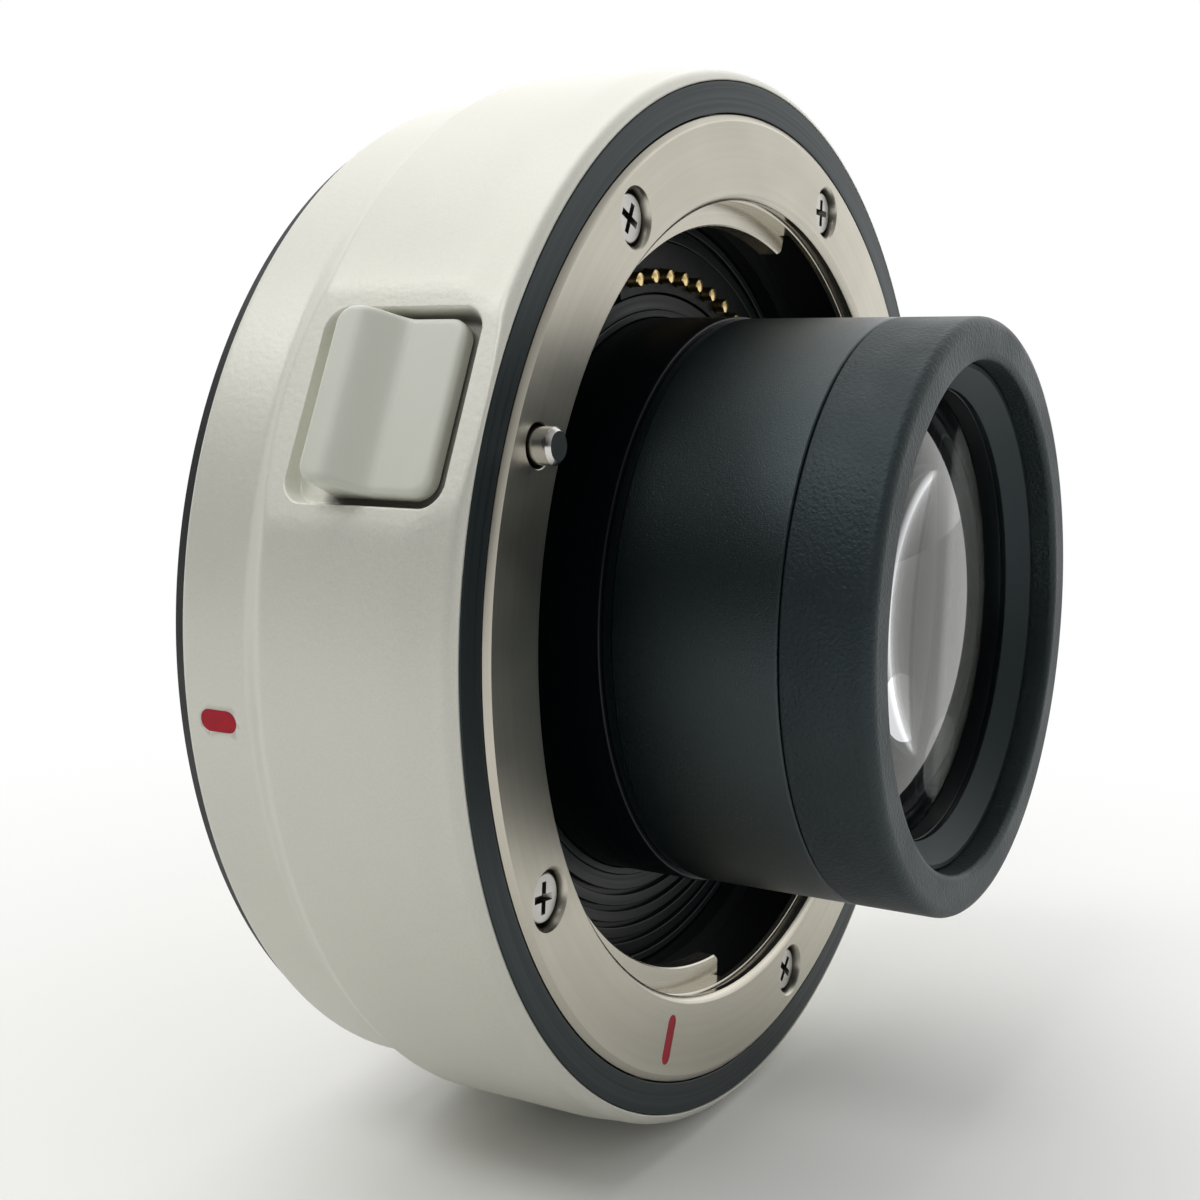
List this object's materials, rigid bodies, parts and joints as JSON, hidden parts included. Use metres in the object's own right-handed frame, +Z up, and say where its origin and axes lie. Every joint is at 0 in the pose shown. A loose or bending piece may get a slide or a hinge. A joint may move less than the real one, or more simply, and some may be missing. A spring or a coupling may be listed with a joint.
{
  "type": "camera teleconverter",
  "caption": "White ring-shaped camera teleconverter: bayonet mounts on both faces, sprung lock pin with slide release, gold contacts and a protruding black lens barrel.",
  "frame": {"origin": "optical axis at the rear mount plane, where the camera's mount ring sits", "axes": "+Y along the optical axis towards the camera, -Y towards the lens, +Z up with the lock release on the left seen from the lens"},
  "size_m": [0.0714, 0.0435, 0.0712],
  "materials": {
    "casing_paint": "warm white satin paint with a faint pearl speckle",
    "lever_paint": "smooth warm white satin paint",
    "dark_bezel": "dark slate grey, satin",
    "mount_steel": "turned satin steel",
    "screw_steel": "satin",
    "spring_steel": "bright",
    "pin_steel": "polished",
    "red_mark": "red paint fill",
    "chassis_alloy": "die cast",
    "throat_black": "matte black",
    "barrel_black": "satin black",
    "hood_grain": "black with a fine leather grain",
    "slate_ring": "matte slate grey",
    "contact_plastic": "matte black",
    "contact_gold": "gold plated",
    "flex_film": "amber film",
    "board": "green solder mask",
    "seal_rubber": "matte black",
    "optical_glass": "coated optical glass"
  },
  "bodies": {
    "converter_body": {"outer_casing": "casing_paint", "front_bezel_ring": "dark_bezel", "front_mount_flange": "mount_steel", "rear_mount_flange": "mount_steel", "front_mount_screws": "screw_steel", "rear_mount_screws": "screw_steel", "board_screws": "screw_steel", "contact_block_screws": "screw_steel", "rear_contact_screws": "screw_steel", "rear_baffle_screws": "screw_steel", "lens_tube_screws": "screw_steel", "mounting_plate_screws": "screw_steel", "mount_leaf_springs": "spring_steel", "lock_pin_spring": "spring_steel", "contact_springs": "spring_steel", "front_index_mark": "red_mark", "rear_index_mark": "red_mark", "body_frame": "chassis_alloy", "mounting_plate": "chassis_alloy", "throat_baffle": "throat_black", "lens_tube": "throat_black", "rear_baffle": "throat_black", "front_barrel": "barrel_black", "triplet_retaining_ring": "barrel_black", "doublet_spacer": "barrel_black", "rear_retaining_ring": "barrel_black", "barrel_hood": "hood_grain", "front_retaining_ring": "slate_ring", "front_contact_block": "contact_plastic", "rear_contact_block": "contact_plastic", "rear_contact_pads": "contact_gold", "contact_flex": "flex_film", "circuit_board": "board", "rear_seal_ring": "seal_rubber", "lens_1": "optical_glass", "lens_2": "optical_glass", "lens_3": "optical_glass", "lens_4": "optical_glass", "lens_5": "optical_glass", "lens_6": "optical_glass", "lens_7": "optical_glass"},
    "release_slide": {"lens_release_lever": "lever_paint", "lock_carriage": "chassis_alloy", "lens_lock_pin": "pin_steel", "lock_pin_clips": "spring_steel"},
    "contact_01": {"contact_pin_01": "contact_gold"},
    "contact_02": {"contact_pin_02": "contact_gold"},
    "contact_03": {"contact_pin_03": "contact_gold"},
    "contact_04": {"contact_pin_04": "contact_gold"},
    "contact_05": {"contact_pin_05": "contact_gold"},
    "contact_06": {"contact_pin_06": "contact_gold"},
    "contact_07": {"contact_pin_07": "contact_gold"},
    "contact_08": {"contact_pin_08": "contact_gold"},
    "contact_09": {"contact_pin_09": "contact_gold"},
    "contact_10": {"contact_pin_10": "contact_gold"},
    "contact_11": {"contact_pin_11": "contact_gold"},
    "contact_12": {"contact_pin_12": "contact_gold"}
  },
  "joints": [
    {"name": "release_lever_slide", "type": "slide", "parent": "converter_body", "child": "release_slide", "axis": [0, 1, 0], "range_m": [0, 0.0015], "stiffness_N_per_m": 400, "springref_m": -0.003, "deforming": ["lock_pin_spring"]},
    {"name": "contact_01_press", "type": "slide", "parent": "converter_body", "child": "contact_01", "axis": [0, 1, 0], "range_m": [0, 0.0006], "stiffness_N_per_m": 150, "springref_m": -0.0015, "deforming": ["contact_springs"]},
    {"name": "contact_02_press", "type": "slide", "parent": "converter_body", "child": "contact_02", "axis": [0, 1, 0], "range_m": [0, 0.0006], "stiffness_N_per_m": 150, "springref_m": -0.0015, "deforming": ["contact_springs"]},
    {"name": "contact_03_press", "type": "slide", "parent": "converter_body", "child": "contact_03", "axis": [0, 1, 0], "range_m": [0, 0.0006], "stiffness_N_per_m": 150, "springref_m": -0.0015, "deforming": ["contact_springs"]},
    {"name": "contact_04_press", "type": "slide", "parent": "converter_body", "child": "contact_04", "axis": [0, 1, 0], "range_m": [0, 0.0006], "stiffness_N_per_m": 150, "springref_m": -0.0015, "deforming": ["contact_springs"]},
    {"name": "contact_05_press", "type": "slide", "parent": "converter_body", "child": "contact_05", "axis": [0, 1, 0], "range_m": [0, 0.0006], "stiffness_N_per_m": 150, "springref_m": -0.0015, "deforming": ["contact_springs"]},
    {"name": "contact_06_press", "type": "slide", "parent": "converter_body", "child": "contact_06", "axis": [0, 1, 0], "range_m": [0, 0.0006], "stiffness_N_per_m": 150, "springref_m": -0.0015, "deforming": ["contact_springs"]},
    {"name": "contact_07_press", "type": "slide", "parent": "converter_body", "child": "contact_07", "axis": [0, 1, 0], "range_m": [0, 0.0006], "stiffness_N_per_m": 150, "springref_m": -0.0015, "deforming": ["contact_springs"]},
    {"name": "contact_08_press", "type": "slide", "parent": "converter_body", "child": "contact_08", "axis": [0, 1, 0], "range_m": [0, 0.0006], "stiffness_N_per_m": 150, "springref_m": -0.0015, "deforming": ["contact_springs"]},
    {"name": "contact_09_press", "type": "slide", "parent": "converter_body", "child": "contact_09", "axis": [0, 1, 0], "range_m": [0, 0.0006], "stiffness_N_per_m": 150, "springref_m": -0.0015, "deforming": ["contact_springs"]},
    {"name": "contact_10_press", "type": "slide", "parent": "converter_body", "child": "contact_10", "axis": [0, 1, 0], "range_m": [0, 0.0006], "stiffness_N_per_m": 150, "springref_m": -0.0015, "deforming": ["contact_springs"]},
    {"name": "contact_11_press", "type": "slide", "parent": "converter_body", "child": "contact_11", "axis": [0, 1, 0], "range_m": [0, 0.0006], "stiffness_N_per_m": 150, "springref_m": -0.0015, "deforming": ["contact_springs"]},
    {"name": "contact_12_press", "type": "slide", "parent": "converter_body", "child": "contact_12", "axis": [0, 1, 0], "range_m": [0, 0.0006], "stiffness_N_per_m": 150, "springref_m": -0.0015, "deforming": ["contact_springs"]}
  ]
}
